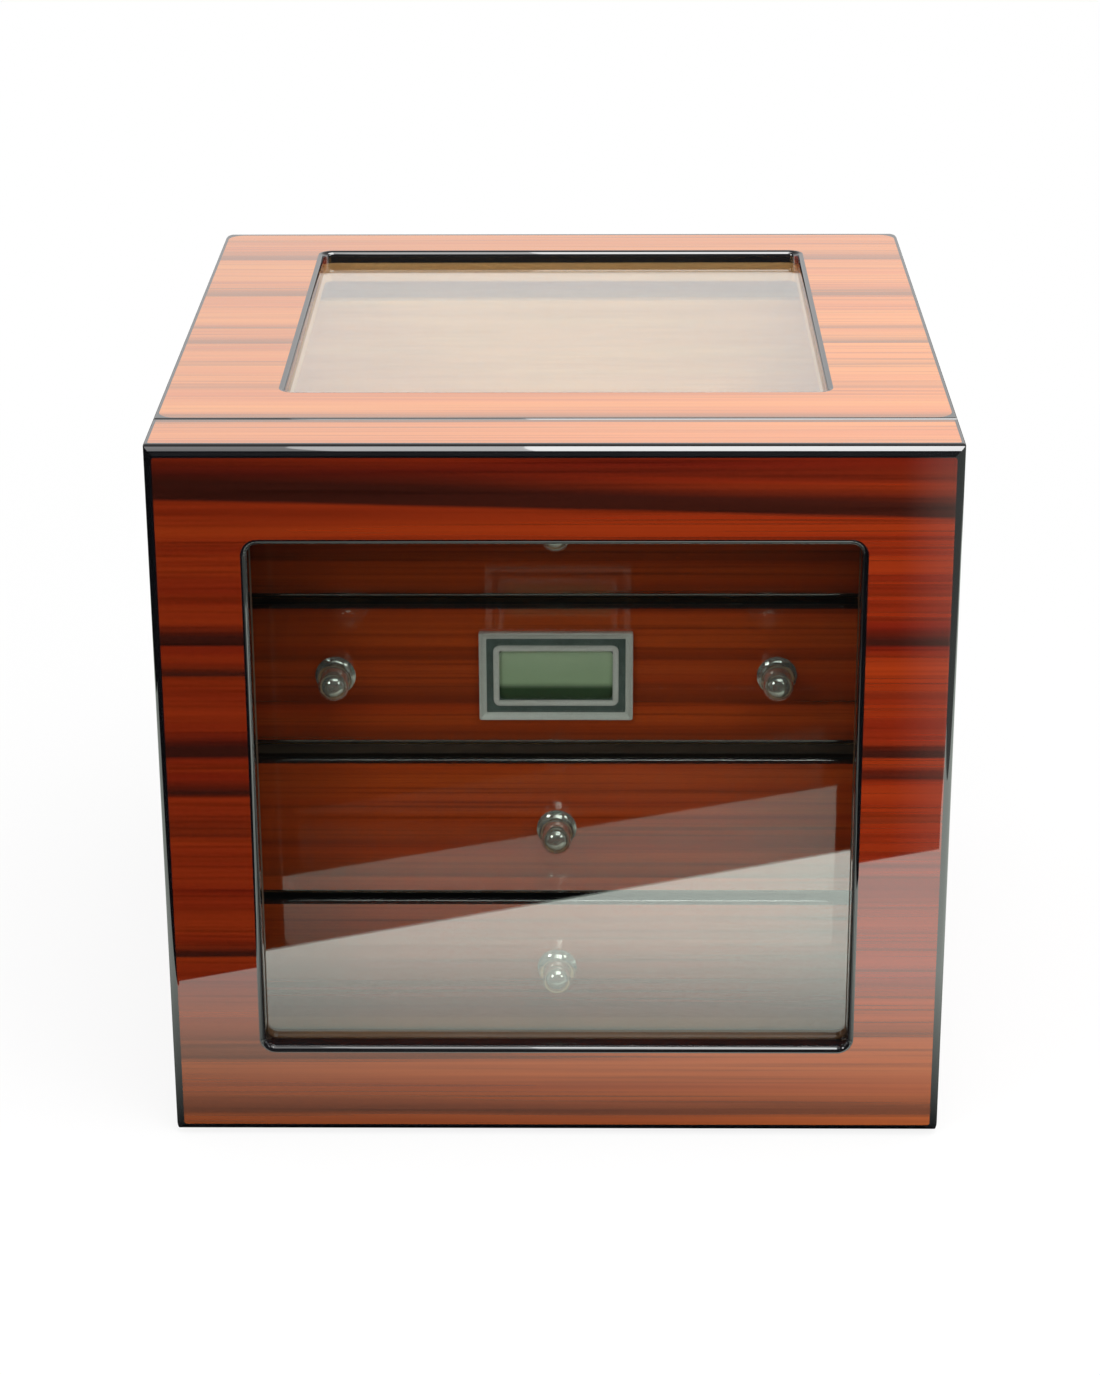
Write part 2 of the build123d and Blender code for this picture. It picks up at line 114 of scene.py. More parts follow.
def noiseAt(tree, vector, scale, detail=2.0, roughness=0.5, stretch=(1, 1, 1)):
    mapped = addNode(tree, "Mapping", {"Vector": vector, "Scale": stretch})
    noise = addNode(tree, "TexNoise", {"Vector": mapped.outputs[0], "Scale": scale, "Detail": detail,
                                       "Roughness": roughness})
    return noise.outputs[0]


def mapRange(tree, value, start, end, low=0.0, high=1.0, smooth="LINEAR"):
    # start becomes low and end becomes high
    node = addNode(tree, "MapRange", {"Value": value, "From Min": start, "From Max": end, "To Min": low, "To Max": high},
                   interpolation_type=smooth)
    return node.outputs[0]


def scaled(tree, colour, amount):
    return addNode(tree, "VectorMath", {0: colour, "Scale": amount}, operation="SCALE").outputs[0]


def mixNumbers(tree, amount, first, second):
    return addNode(tree, "Mix", {0: amount, 2: first, 3: second}).outputs[0]


def panelMask(tree, across, up, panel, soft=0.05):
    # 1 inside a rectangle with round corners, 0 outside, with an edge twice soft mm wide:
    # how far out a point lies is the length of what sticks out past the inner rectangle, less the corner radius
    centre, half, radius = panel["centre"], panel["half"], panel["corner"]
    out = []
    for place, middle, reach in ((across, centre[0], half[0]), (up, centre[1], half[1])):
        offset = calc(tree, "ABSOLUTE", calc(tree, "SUBTRACT", place, middle * mm))
        out.append(calc(tree, "SUBTRACT", offset, (reach - radius) * mm))
    past = [calc(tree, "MAXIMUM", one, 0.0) for one in out]
    corner = addNode(tree, "CombineXYZ", {0: past[0], 1: past[1]})
    length = addNode(tree, "VectorMath", {0: corner.outputs[0]}, operation="LENGTH").outputs[1]
    inner = calc(tree, "MINIMUM", calc(tree, "MAXIMUM", out[0], out[1]), 0.0)
    distance = calc(tree, "SUBTRACT", calc(tree, "ADD", length, inner), radius * mm)
    return mapRange(tree, distance, soft * mm, -soft * mm)


# Rosewood veneer under thick polyester lacquer, flatted and buffed: red-brown with long dark streaks,
# a deep mirror over it, and every edge and reveal in black lacquer
veneer = {
    "bright": "#963310", "plain": "#6e190b", "dark": "#31140e",      # upright faces
    "footPaintedLightBright": "#b15c28", "footPaintedLightPlain": "#8a3e19",                   # the front's foot, lighter and browner: painted light near the white table
    "pale": "#da8639", "buff": "#c56b2d", "smoke": "#7a4a28",        # level faces: a paler copy of the same veneer, painted light for the stronger light on the top
    "black": "#08080a",
    "lacquerIor": 2.65,             # polyester is 1.55; raised until the front mirrors the table like the real one
    "lacquerRoughness": 0.02,
    "waviness": 2.0,                # mm that a streak wanders
    "driftScale": (5, 5, 12),       # per metre, of the noise that makes it wander
    "streakWidth": 16.0,            # mm from one broad tone to the next
    "figureWidth": 5.0,             # mm from one narrow tone to the next
    "grainWidth": 1.3,              # mm from grain line to grain line
    "toneRange": (0.36, 0.66),      # the noise values that are the darkest and the brightest tone
    "footFrom": 70.0, "footTo": 36.0,            # mm; between these heights the front turns to its foot's painted-light tones
    "footPaintedShade": 1.0, "footPaintedShadeTo": 85.0, "footPaintedShadeFrom": 30.0,   # painted shade: how dark the foot is painted, and mm
    "endFrom": -130.0, "endTo": 140.0,           # mm; painted light: the sheet is painted darker at its left end and lighter towards its right, where the light comes from
    # painted light and shade: the factors for the left end, the right end and the level faces, and the level faces'
    # share of their own factor
    "leftPaintedShade": 0.7, "rightPaintedLight": 1.1, "levelPaintedLight": 1.05, "levelPart": 0.7,
    "tilt": 0.023, "tiltFrom": 235.0, "tiltTo": 255.0,   # fall of the top rail's dark streak, mm per mm, and mm
    "sides": 40.0,                  # mm from the middle to where only one side's streaks show
    "streakStart": 0.4, "streakRise": 0.5, "streakGain": 1.5, "streakMost": 0.95,
    "flat": 0.7,                    # a face looks along an axis where its normal's part there is above this
}

# dark streaks as (low edge, high edge, darkness), in mm: sharp at the low edge, fading upwards
leftStreaks = [(9, 20, 0.45), (33, 49, 0.4), (77.5, 84, 0.8), (128, 141, 0.3), (146, 153.5, 0.75),
               (162, 173, 0.95), (194.5, 200, 0.75), (206.5, 216, 0.95), (260.5, 279, 1.0), (272, 286, 0.6)]
rightStreaks = [(9, 20, 0.45), (44, 51, 0.4), (60, 66, 0.2), (134, 138, 0.35), (152.5, 160, 0.6), (161.5, 168, 0.9),
                (186, 190, 0.25), (207, 215, 0.8), (260.5, 274, 1.0), (274, 286, 0.3)]
levelStreaks = [(-127, -113, 0.9), (-84, -75, 0.35), (-53, -45, 0.3), (-22, -10, 0.55), (0, 7, 0.5), (50, 66, 0.6),
                (110, 128, 0.55)]
uprightSpan, levelSpan = (0.0, 290.0), (-160.0, 160.0)   # mm that the streaks' ramps cover


def streakRamp(tree, across, streaks, span):
    # the ramp rises sharply to a streak's darkness at its low edge and falls to 0 at its high edge;
    # half as much again, cut near 1, gives the strong streaks a flat middle
    low, high = span
    stops = []
    for start, end, darkness in streaks:
        for height, amount in ((start - veneer["streakStart"], 0.0), (start + veneer["streakRise"], darkness), (end, 0.0)):
            stops.append(((height - low) / (high - low), amount))
    rise = calc(tree, "MULTIPLY", rampOf(tree, mapRange(tree, across, low * mm, high * mm), stops), veneer["streakGain"])
    return calc(tree, "MINIMUM", rise, veneer["streakMost"])


def veneerColour(tree, vector, place, level, left, right, tones):
    # streaks run along X; across them is Z on upright faces and Y on level ones
    drift = noiseAt(tree, vector, 1.0, 2.0, 0.5, veneer["driftScale"])
    wander = calc(tree, "MULTIPLY", calc(tree, "SUBTRACT", drift, 0.5), veneer["waviness"] * 2 * mm)
    tilt = mapRange(tree, place[2], veneer["tiltFrom"] * mm, veneer["tiltTo"] * mm, 0.0, veneer["tilt"])
    upright = calc(tree, "ADD", calc(tree, "ADD", place[2], wander), calc(tree, "MULTIPLY", place[0], tilt))
    flat = calc(tree, "ADD", place[1], wander)
    side = mapRange(tree, place[0], -veneer["sides"] * mm, veneer["sides"] * mm)
    bands = mixNumbers(tree, side, *(streakRamp(tree, upright, streaks, uprightSpan) for streaks in (left, right)))
    bands = mixNumbers(tree, level, bands, streakRamp(tree, flat, levelStreaks, levelSpan))
    # broad tones, narrow tones and fine grain: noise drawn out along the board, as (along, across) per metre
    drawnOut = {
        "tones": (1.5, 1000 / veneer["streakWidth"]),
        "figure": (3.0, 1000 / veneer["figureWidth"]),
        "grain": (5.0, 1000 / veneer["grainWidth"]),
    }
    layers = {}
    for name, (along, across) in drawnOut.items():
        standing = noiseAt(tree, vector, 1.0, 2.5, 0.55, (along, along, across))
        lying = noiseAt(tree, vector, 1.0, 2.5, 0.55, (along, across, along))
        layers[name] = mixNumbers(tree, level, standing, lying)
    broad = calc(tree, "ADD", calc(tree, "MULTIPLY", layers["tones"], 0.6), calc(tree, "MULTIPLY", layers["figure"], 0.4))
    broad = mapRange(tree, broad, *veneer["toneRange"])
    # painted light: the level faces take a paler copy of the veneer, and the front's foot a lighter one
    standing, foot, lying = (blendColours(tree, broad, hexColour(tones[plain]), hexColour(tones[bright]))
                             for plain, bright in (("plain", "bright"), ("footPaintedLightPlain", "footPaintedLightBright"), ("buff", "pale")))
    low = mapRange(tree, place[2], veneer["footFrom"] * mm, veneer["footTo"] * mm)
    base = blendColours(tree, level, blendColours(tree, low, standing, foot), lying)
    dark = blendColours(tree, level, hexColour(tones["dark"]), hexColour(tones["smoke"]))
    base = blendColours(tree, bands, base, dark)
    # thin dark lines where the fine noise dips, and painted light and shade: the sheet painted darker to its left end,
    # lighter to its right, and darker to its foot
    lines = rampOf(tree, layers["grain"], [(0.3, 0.6), (0.46, 0.93), (0.7, 1.08)])
    paintedSideLight = mapRange(tree, place[0], veneer["endFrom"] * mm, veneer["endTo"] * mm, tones["leftPaintedShade"], tones["rightPaintedLight"])
    paintedSideLight = mixNumbers(tree, calc(tree, "MULTIPLY", level, veneer["levelPart"]), paintedSideLight, veneer["levelPaintedLight"])
    # painted shade, darker towards the foot
    bottom = mapRange(tree, place[2], veneer["footPaintedShadeFrom"] * mm, veneer["footPaintedShadeTo"] * mm, tones["footPaintedShade"])
    shade = calc(tree, "MULTIPLY", lines, calc(tree, "MULTIPLY", paintedSideLight, bottom))
    return scaled(tree, base, shade)


def lacquer(name, panels, left, right, tones=veneer, inside=None):
    # panels: (axis that the face looks along, its sign or 0 for both, the veneered rectangles, the windows in them)
    material, tree = newMaterial(name)
    vector, place, normal = placeOf(tree)
    level = calc(tree, "GREATER_THAN", calc(tree, "ABSOLUTE", normal[2]), veneer["flat"])
    colour = veneerColour(tree, vector, place, level, left, right, tones)
    total = None
    pairs = {"x": (1, 2), "y": (0, 2), "z": (0, 1)}
    for axis, sign, sheets, windows in panels:
        looks = normal["xyz".index(axis)]
        facing = calc(tree, "MULTIPLY", looks, float(sign)) if sign else calc(tree, "ABSOLUTE", looks)
        seen = calc(tree, "GREATER_THAN", facing, veneer["flat"])
        across, up = (place[i] for i in pairs[axis])
        cover = None
        for sheet in sheets:
            mask = panelMask(tree, across, up, sheet)
            cover = mask if cover is None else calc(tree, "MAXIMUM", cover, mask)
        for window in windows:
            cover = calc(tree, "MULTIPLY", cover, calc(tree, "SUBTRACT", 1.0, panelMask(tree, across, up, window)))
        cover = calc(tree, "MULTIPLY", cover, seen)
        total = cover if total is None else calc(tree, "MAXIMUM", total, cover)
    smoke = noiseAt(tree, vector, 40.0, 2.0)
    edge = blendColours(tree, smoke, hexColour(veneer["black"]), hexColour("#101013"))
    if inside:  # what lies within this box is stained brown instead of black
        within = panelMask(tree, place[0], place[2], inside["section"])
        within = calc(tree, "MULTIPLY", within, calc(tree, "GREATER_THAN", place[1], inside["from"] * mm))
        darkBrown = rampOf(tree, noiseAt(tree, vector, 1.0, 2.0, 0.5, (5, 5, 300)),
                       [(0.3, hexColour("#4a2a1a")), (0.7, hexColour("#5f3822"))])
        edge = blendColours(tree, within, edge, darkBrown)
    mixed = blendColours(tree, total, edge, colour)
    shader = addNode(tree, "BsdfPrincipled", {"Base Color": mixed, "Roughness": veneer["lacquerRoughness"],
                                              "IOR": tones["lacquerIor"]})
    closeMaterial(tree, shader.outputs[0])
    return material


def rect(low, high, corner=1.0):
    # centre and half sizes from two opposite corners, in mm
    low, high = np.array(low, float), np.array(high, float)
    return {"centre": tuple((low + high) / 2), "half": tuple((high - low) / 2), "corner": corner}


# the box in mm, how wide the black is along each kind of edge, and the two windows' corners
body = {"side": 150.0, "front": -157.0, "back": 157.0, "bottom": 1.2, "top": 284.2, "seam": -123.15}
edges = {"front": 4.4, "side": 3.3, "topSide": 1.5, "seam": 1.5, "back": 4.0, "rearSide": 8.5, "window": 2.3,
         "windowCorner": 6.3, "rearCorner": 7.0}
doorWindow = (-113.4, 38.5), (113.4, 246.0)
topWindow = (-104.0, -87.2), (104.0, 123.8)


def windowRect(corners):
    low, high = (np.array(corner) for corner in corners)
    return rect(low - edges["window"], high + edges["window"], edges["windowCorner"])


foot = body["bottom"] + edges["side"]
doorSheets = [
    ("y", -1, [rect((-body["side"] + edges["side"], foot), (body["side"] - edges["side"], body["top"] - edges["front"]))],
     [windowRect(doorWindow)]),
    ("z", 0, [rect((-body["side"] + edges["topSide"], body["front"] + edges["front"]),
                   (body["side"] - edges["topSide"], body["seam"] - edges["seam"]))], []),
    ("x", 0, [rect((body["front"] + edges["front"], foot),
                   (body["seam"] - edges["seam"], body["top"] - edges["topSide"]))], []),
]
caseSheets = [
    ("z", 1, [rect((-body["side"] + edges["topSide"], body["seam"] + edges["seam"]),
                   (body["side"] - edges["topSide"], body["back"] - edges["back"]), edges["rearCorner"])],
     [windowRect(topWindow)]),
    ("x", 0, [rect((body["seam"] + edges["seam"], foot),
                   (body["back"] - edges["rearSide"], body["top"] - edges["topSide"]))], []),
    ("y", 1, [rect((-body["side"] + edges["rearSide"], foot),
                   (body["side"] - edges["rearSide"], body["top"] - edges["back"]))], []),
]


def simple(name, colours, scale, stretch=(1, 1, 1), **sockets):
    # two colours mixed by noise over the surface, with the shader's own sockets for the finish
    material, tree = newMaterial(name)
    vector, place, normal = placeOf(tree)
    grain = noiseAt(tree, vector, scale, 3.0, 0.55, stretch)
    colour = rampOf(tree, grain, [(0.35, hexColour(colours[0])), (0.65, hexColour(colours[1]))])
    bump = sockets.pop("bump", None)
    inputs = {"Base Color": colour, **{key.replace("_", " "): value for key, value in sockets.items()}}
    if bump:
        relief = addNode(tree, "Bump", {"Strength": bump[0], "Distance": bump[1] * mm, "Height": grain})
        inputs["Normal"] = relief.outputs[0]
    closeMaterial(tree, addNode(tree, "BsdfPrincipled", inputs).outputs[0])
    return material


def cedar(name, axis, tones=("#dfab6e", "#eabb82", "#f0c891")):
    # Spanish cedar, planed and left raw: pale pinkish brown, its default tones painted paler than the raw wood as
    # painted light for the dim inside of the box; straight grain along the board, small dark pores
    material, tree = newMaterial(name)
    vector, place, normal = placeOf(tree)
    along = ["x", "y", "z"].index(axis)
    coarse = tuple(4.0 if i == along else 160.0 for i in range(3))   # rings about 6 mm apart
    fine = tuple(30.0 if i == along else 1600.0 for i in range(3))   # fibres about 0.6 mm apart
    rings = noiseAt(tree, vector, 1.0, 2.0, 0.5, coarse)
    fibres = noiseAt(tree, vector, 1.0, 2.0, 0.6, fine)
    colour = rampOf(tree, rings, [(0.3, hexColour(tones[0])), (0.5, hexColour(tones[1])), (0.7, hexColour(tones[2]))])
    colour = scaled(tree, colour, mapRange(tree, fibres, 0.3, 0.7, 0.88, 1.06))
    relief = addNode(tree, "Bump", {"Strength": 0.25, "Distance": 0.1 * mm, "Height": fibres})
    shader = addNode(tree, "BsdfPrincipled", {"Base Color": colour, "Roughness": 0.72, "Normal": relief.outputs[0]})
    closeMaterial(tree, shader.outputs[0])
    return material


def pane():
    # soda-lime float glass, polished edges: clear with a faint green tint; rays from lamps pass straight through.
    # Its index is raised from 1.52 until the door mirrors the white sheet as strongly as the real one
    material, tree = newMaterial("floatGlass")
    vector, place, normal = placeOf(tree)
    haze = noiseAt(tree, vector, 30.0, 2.0)
    tint = rampOf(tree, haze, [(0.3, hexColour("#f4faf6")), (0.7, hexColour("#f8fcf9"))])
    glass = addNode(tree, "BsdfPrincipled", {"Base Color": tint, "Roughness": 0.0, "IOR": 2.95,
                                             "Transmission Weight": 1.0})
    clear = addNode(tree, "BsdfTransparent", {"Color": hexColour("#f4faf6")})
    path = addNode(tree, "LightPath")
    mixed = addNode(tree, "MixShader", {0: path.outputs["Is Shadow Ray"], 1: glass.outputs[0], 2: clear.outputs[0]})
    closeMaterial(tree, mixed.outputs[0])
    return material


def crystal():
    # liquid crystal behind clear plastic, switched off: grey-green, painted paler than its own colour as painted light
    # for the dim inside, and dark along its lower edge as a painted reflection; smooth
    material, tree = newMaterial("liquidCrystal")
    vector, place, normal = placeOf(tree)
    low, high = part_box("hygrometer_display")
    # painted light and reflection: pale grey-green, darkening to a painted reflection along the lower edge
    stops = ((0.05, "#3a5038"), (0.28, "#455d41"), (0.4, "#c6dfb6"), (1.0, "#d9f0cb"))
    fall = rampOf(tree, mapRange(tree, place[2], low.z, high.z), [(at, hexColour(code)) for at, code in stops], "EASE")
    grain = noiseAt(tree, vector, 120.0, 2.0)
    colour = scaled(tree, fall, mapRange(tree, grain, 0.0, 1.0, 0.94, 1.06))
    closeMaterial(tree, addNode(tree, "BsdfPrincipled", {"Base Color": colour, "Roughness": 0.08}).outputs[0])
    return material


def shelfEdge():
    # the shelf is cedar with a dark brown front edge
    material, tree = newMaterial("cedarShelfDarkEdge")
    vector, place, normal = placeOf(tree)
    rings = noiseAt(tree, vector, 1.0, 2.0, 0.5, (4, 160, 160))
    raw = rampOf(tree, rings, [(0.3, hexColour("#d09a63")), (0.7, hexColour("#e2b37c"))])
    darkBrown = rampOf(tree, rings, [(0.3, hexColour("#3a281c")), (0.7, hexColour("#4a3424"))])
    front = calc(tree, "LESS_THAN", normal[1], -0.5)
    colour = blendColours(tree, front, raw, darkBrown)
    closeMaterial(tree, addNode(tree, "BsdfPrincipled", {"Base Color": colour, "Roughness": 0.55}).outputs[0])
    return material


doorLacquer = lacquer("doorVeneerLacquer", doorSheets, leftStreaks, rightStreaks,
                      inside={"section": rect((-139, 15.5), (139, 273.5)), "from": -141.2})
caseLacquer = lacquer("caseVeneerLacquer", caseSheets, leftStreaks, rightStreaks)

# the drawer fronts: mm of their undersides, and veneer painted brighter than the door's: painted light to make up for
# the dimness behind the door
drawers = {"half": 133.0, "height": 58.775, "edge": 2.1, "undersides": (208.425, 147.45, 82.675, 21.7)}
drawerSheets = [("y", -1, [rect((-drawers["half"] + drawers["edge"], low + drawers["edge"]),
                                (drawers["half"] - drawers["edge"], low + drawers["height"] - drawers["edge"]))
                           for low in drawers["undersides"]], [])]
# the first streak is painted shade: a broad dark band low on the lowest drawer, which lies in shade
drawerStreaks = [(21, 62, 0.3), (90, 100, 0.35), (104, 110, 0.25), (149, 160, 0.45), (165, 175, 0.5), (183, 189, 0.35),
                 (203, 208, 0.3), (210, 216, 0.4), (224, 232, 0.4)]
# painted light and shade: brighter tones than the door's, a darker left end where the door's stile shades the drawers,
# and a darker foot on the lowest drawer
drawerPaintedLightTones = {**veneer, "bright": "#f56526", "plain": "#d0481a", "footPaintedLightBright": "#f56526", "footPaintedLightPlain": "#d0481a",
               "dark": "#6a2e1a", "leftPaintedShade": 0.85, "footPaintedShade": 0.42, "lacquerIor": 2.9}
drawerLacquer = lacquer("drawerVeneerLacquer", drawerSheets, drawerStreaks, drawerStreaks, drawerPaintedLightTones)
cedarX, cedarY = cedar("spanishCedarAcross", "x"), cedar("spanishCedarDeep", "y")
# the door's glass bead: the same cedar in darker tones
beadCedar = cedar("darkCedarBead", "x", ("#654224", "#7a512d", "#875d36"))
floatGlass = pane()
# turned brass knobs, nickel and chrome plated, polished; a little less metallic than the plating, for its bright haze
chrome = simple("polishedChrome", ("#dcded6", "#e6e7e0"), 60.0, Metallic=0.8, Roughness=0.06)
# pressed ABS with a pale satin silver coat under a clear one: mostly paint, hence the low metallic share
satinChrome = simple("satinChrome", ("#f4f5ee", "#fafaf5"), 60.0, Metallic=0.12, Roughness=0.3, IOR=2.0)
# the meter's ring: near-white paint, brighter than its real silver: painted light for the dim inside behind the glass
ringPaintedLight = simple("paleRingPaintedLight", ("#f9f8f2", "#fdfcf8"), 120.0, Roughness=0.22, Metallic=0.05, IOR=2.0)
# brushed brass, drawn along the leaf's height
brass = simple("satinBrass", ("#b9964f", "#c9a75e"), 200.0, (1, 1, 12), Metallic=1.0, Roughness=0.24)
# nickel-plated steel, barrelled
steel = simple("nickelSteel", ("#a9aaa8", "#bcbdbb"), 300.0, Metallic=1.0, Roughness=0.22)
# pressed black wool felt, about 1 mm between tufts
felt = simple("woolFelt", ("#16161a", "#232327"), 900.0, Roughness=0.95, bump=(0.5, 0.3))
# green floral foam, open pores of about 1.5 mm
foam = simple("floralFoam", ("#2f6b3c", "#4b8a55"), 700.0, Roughness=0.9, bump=(0.6, 0.4))
# extruded black rubber, matt
rubber = simple("sealRubber", ("#1b1b1c", "#262627"), 400.0, Roughness=0.6)
# moulded black ABS with a fine spark-eroded texture
plastic = simple("mouldedAbs", ("#141516", "#1c1d1f"), 300.0, Roughness=0.4, bump=(0.1, 0.05))
# sprayed black polyester lacquer, buffed
blackLacquer = simple("blackLacquer", ("#08080a", "#101013"), 40.0, Roughness=0.06, IOR=1.55)
# sprayed grey-green paint on the meter's face plate, semi-gloss
meterFace = simple("paintedMeterFace", ("#586662", "#677671"), 250.0, Roughness=0.35)
display = crystal()
shelfWood = shelfEdge()
# green solder resist on glass epoxy board
board = simple("circuitBoard", ("#12552c", "#1a6a38"), 150.0, Roughness=0.35)

finishes = {
    doorLacquer: ["door_front_panel", "door_side_rims", "door_top_rim", "door_bottom_rim"],
    caseLacquer: ["case_left_side", "case_right_side", "case_base", "case_back", "case_top_frame"],
    drawerLacquer: [f"drawer_{n}_front" for n in range(1, 5)],
    cedarX: ["base_liner", "ceiling_liner", "back_liner", "top_glass_bead",
             *[f"drawer_{n}_{part}" for n in range(1, 5) for part in ("back", "bottom")]],
    beadCedar: ["door_glass_bead"],
    shelfWood: ["middle_shelf"],
    cedarY: ["left_liner", "right_liner", "drawer_runners", *[f"drawer_{n}_sides" for n in range(1, 5)]],
    floatGlass: ["top_glass", "door_glass"],
    chrome: [f"drawer_{n}_knob" for n in range(1, 5)],
    satinChrome: ["hygrometer_bezel"],
    brass: ["case_hinge_leaves", "door_hinge_leaves", "hinge_pins", "case_hinge_screws", "door_hinge_screws"],
    steel: ["case_magnets", "door_magnets", "hygrometer_button_cell"],
    felt: ["base_felt"],
    foam: ["humidifier_foam"],
    rubber: ["door_seal"],
    plastic: ["hygrometer_body", "hygrometer_battery_cover", "humidifier_tray", "humidifier_lid"],
    meterFace: ["hygrometer_face"],
    ringPaintedLight: ["hygrometer_window_ring"],
    display: ["hygrometer_display"],
    board: ["hygrometer_circuit_board"],
}
for material, names in finishes.items():
    for name in names:
        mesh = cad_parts[name].data
        mesh.materials.clear()
        mesh.materials.append(material)
bare = set(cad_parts) - {name for names in finishes.values() for name in names}
print("finishes assigned; nodes without one:", sorted(bare))


table = {
    "size": 6.0, "drop": 0.0003,     # m each way, and below the box's felt
    "white": 0.9,
    "sheetTurn": -22.0,              # degrees; the pale sheet that the box stands on, as the lacquer mirrors it
    "sheetFront": 0.331, "sheetBack": 0.62, "sheetSide": 0.55,   # m from the middle of the box to its edges
    "tint": (0.92, 1.0, 0.92),
    "brightFrom": -200.0, "brightTo": 150.0, "leftBright": 0.72,   # mm; the mirrored sheet is dimmer at the left
    "haze": {"start": 165.0, "lean": 0.097, "at": -598.0, "soft": 45.0, "level": 0.17},   # mm; a dim board to the right
    "beyond": 0.004,                 # how bright the table past the sheet looks in a mirror
    "shade": 72.0,                   # mm; the mirrored sheet grows dark towards the box, which stands in its light
    "clear": 0.85, "fadeFrom": 0.3, "fadeTo": 0.9,   # how much of the shadow is lost in the white, between these m
}


def floorMaterial():
    # a matt white table; the camera sees it white, with the box's shadow, and a mirror sees the sheet and the dark past it
    material, tree = newMaterial("mattWhiteTable")
    vector, place, normal = placeOf(tree)
    matt = addNode(tree, "BsdfDiffuse", {"Color": (table["white"], table["white"], table["white"], 1)})
    # the sheet, a turned rectangle
    turned = addNode(tree, "Mapping", {"Vector": vector, "Rotation": (0, 0, -math.radians(table["sheetTurn"]))})
    split = addNode(tree, "SeparateXYZ", {0: turned.outputs[0]}).outputs
    front, back, side = (table[key] / mm for key in ("sheetFront", "sheetBack", "sheetSide"))
    sheet = panelMask(tree, split[0], split[1],
                      {"centre": (0, (back - front) / 2), "half": (side, (back + front) / 2), "corner": 2.0})
    mirrored = mapRange(tree, sheet, 0.0, 1.0, table["beyond"])
    # what dims it: the box's shade and the left side; what adds to it: the board past a slanting line
    shade = table["shade"]
    under = panelMask(tree, place[0], place[1], {"centre": (0, 0), "half": (body["side"] + shade, body["back"] + shade),
                                                 "corner": shade}, shade)
    bright = mapRange(tree, place[0], table["brightFrom"] * mm, table["brightTo"] * mm, table["leftBright"])
    haze = table["haze"]
    slant = calc(tree, "MULTIPLY", calc(tree, "SUBTRACT", place[1], haze["at"] * mm), haze["lean"])
    board = mapRange(tree, calc(tree, "ADD", place[0], slant), haze["start"] * mm, (haze["start"] + haze["soft"]) * mm,
                     0.0, haze["level"], "SMOOTHSTEP")
    mirrored = calc(tree, "MAXIMUM", calc(tree, "MULTIPLY", mirrored, bright), board)
    mirrored = calc(tree, "MULTIPLY", mirrored, calc(tree, "SUBTRACT", 1.0, under))
    glow = addNode(tree, "Emission", {"Color": (*table["tint"], 1), "Strength": mirrored})
    white = addNode(tree, "Emission", {"Color": (1, 1, 1, 1), "Strength": 1.0})
    away = addNode(tree, "VectorMath", {0: vector}, operation="LENGTH").outputs[1]
    fade = mapRange(tree, away, table["fadeFrom"], table["fadeTo"], table["clear"])
    seen = addNode(tree, "MixShader", {0: fade, 1: matt.outputs[0], 2: white.outputs[0]})
    direct, mirror = rayKinds(tree)
    first = addNode(tree, "MixShader", {0: direct, 1: matt.outputs[0], 2: seen.outputs[0]})
    final = addNode(tree, "MixShader", {0: mirror, 1: first.outputs[0], 2: glow.outputs[0]})
    closeMaterial(tree, final.outputs[0])
    return material


def rayKinds(tree):
    # 1 for rays that see straight or through the glass, and 1 for mirrored rays that come from the box
    path = addNode(tree, "LightPath").outputs
    direct = calc(tree, "MAXIMUM", path["Is Camera Ray"], path["Is Transmission Ray"])
    mirror = calc(tree, "MULTIPLY", calc(tree, "GREATER_THAN", path["Glossy Depth"], 0.5), path["Is Glossy Ray"])
    return direct, mirror


def meshPiece(name, points, faces):
    mesh = bpy.data.meshes.new(name)
    mesh.from_pydata(points.reshape(-1, 3).tolist(), [], faces.reshape(-1, 4).tolist())
    piece = bpy.data.objects.new(name, mesh)
    bpy.context.scene.collection.objects.link(piece)
    return piece


def gridMesh(name, points):
    # points is rows by columns by 3; each cell of the grid is one face
    rows, columns = points.shape[:2]
    index = np.arange(rows * columns).reshape(rows, columns)
    return meshPiece(name, points, np.stack([index[:-1, :-1], index[1:, :-1], index[1:, 1:], index[:-1, 1:]], -1))


def carriedFrame(name, half, corner, profile, place, perCorner=7):
    # a profile of (how far in from the edge, how far proud) carried round a rectangle with round corners:
    # each point is a corner's centre plus its radius times (cos, sin) of the angle, for half sizes less the inset;
    # the profile closes on itself and so does the way round
    inset, proud = (np.array(column, float)[None, :] for column in zip(*profile))
    radius = np.maximum(corner - inset, 0.35)
    turn = np.concatenate([np.linspace(start, start + 90, perCorner) for start in (0, 90, 180, 270)])
    signX = np.repeat([1, -1, -1, 1], perCorner)[:, None]
    signZ = np.repeat([1, 1, -1, -1], perCorner)[:, None]
    angle = np.radians(turn)[:, None]
    x = signX * (half[0] - inset - radius) + radius * np.cos(angle)
    z = signZ * (half[1] - inset - radius) + radius * np.sin(angle)
    y = -proud + 0 * angle
    points = np.stack([x + place[0], y + place[1], z + place[2]], -1) * mm
    rows, columns = points.shape[:2]
    i, j = np.meshgrid(np.arange(rows), np.arange(columns), indexing="ij")
    nextI, nextJ = (i + 1) % rows, (j + 1) % columns
    faces = np.stack([i * columns + j, i * columns + nextJ, nextI * columns + nextJ, nextI * columns + j], -1)
    return meshPiece(name, points, faces)


